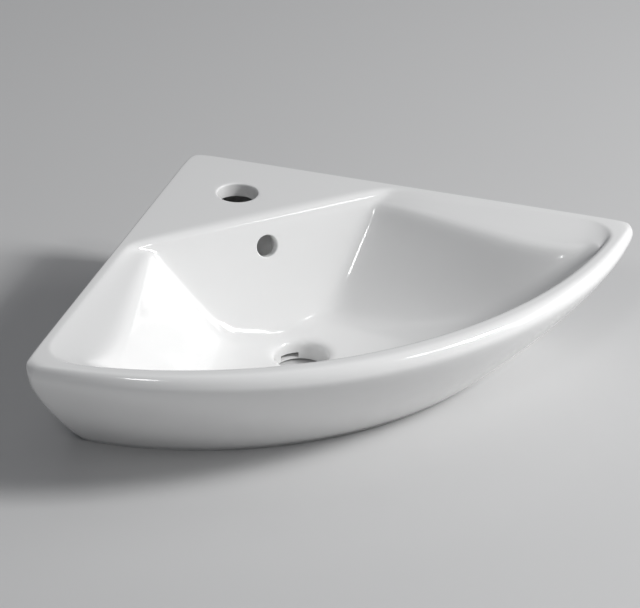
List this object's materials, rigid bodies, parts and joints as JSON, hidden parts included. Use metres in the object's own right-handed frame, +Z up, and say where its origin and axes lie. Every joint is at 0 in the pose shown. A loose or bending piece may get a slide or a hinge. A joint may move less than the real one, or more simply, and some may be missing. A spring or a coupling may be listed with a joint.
{
  "type": "corner basin",
  "caption": "Wall-hung quarter-round corner wash basin with a tap deck in the corner, ledges beside the bowl, an overflow, a waste hole and a bolt fixing in each wall.",
  "frame": {"origin": "centre of the bounding box in plan, in the plane of the foot", "axes": "+Z up, +Y towards the room corner along the diagonal of the basin, +X to the right of someone who stands in the corner's mouth and faces the corner"},
  "size_m": [0.559, 0.3954, 0.116],
  "materials": {
    "ceramic": "gloss white glaze",
    "zinc_steel": "bright zinc plate",
    "bush_nylon": "natural nylon",
    "plug_nylon": "grey nylon"
  },
  "bodies": {
    "root": {"basin": "ceramic", "wall_plug_left": "plug_nylon", "wall_plug_right": "plug_nylon", "wall_bolt_left": "zinc_steel", "wall_bolt_right": "zinc_steel", "bolt_bush_left": "bush_nylon", "bolt_bush_right": "bush_nylon", "washer_left": "zinc_steel", "washer_right": "zinc_steel", "nut_left": "zinc_steel", "nut_right": "zinc_steel"}
  },
  "joints": []
}
